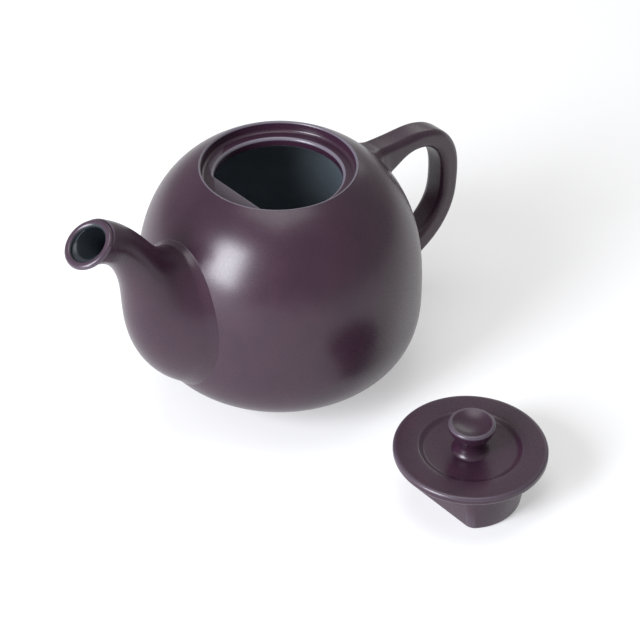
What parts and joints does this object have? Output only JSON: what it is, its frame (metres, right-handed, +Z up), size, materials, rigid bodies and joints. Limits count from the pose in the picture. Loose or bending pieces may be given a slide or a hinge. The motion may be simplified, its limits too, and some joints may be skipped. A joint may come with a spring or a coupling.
{
  "type": "teapot",
  "caption": "Round clay teapot with a bulbous curved spout, strap side handle, recessed gallery and a lift-off knobbed lid with a deep keyed collar.",
  "frame": {"origin": "centre of the foot on the table, under the pot's own axis", "axes": "+Z up along the pot's axis, spout along -X, handle along +X, lid set down along -Y"},
  "size_m": [0.211, 0.2101, 0.123],
  "materials": {
    "glazed_clay": "satin",
    "bare_clay": "matt"
  },
  "bodies": {
    "pot": {"body_shell": "glazed_clay", "gallery_ledge": "glazed_clay", "base_disc": "glazed_clay", "foot_ring": "bare_clay", "spout": "glazed_clay", "handle": "glazed_clay"},
    "lid": {"lid_disc": "glazed_clay", "lid_collar": "glazed_clay", "lid_knob": "glazed_clay"}
  },
  "joints": [
    {"name": "lid_carry", "type": "slide", "parent": "pot", "child": "lid", "axis": [-0.0177, 0.3587, 0.9333], "range_m": [0, 0.32144]}
  ]
}
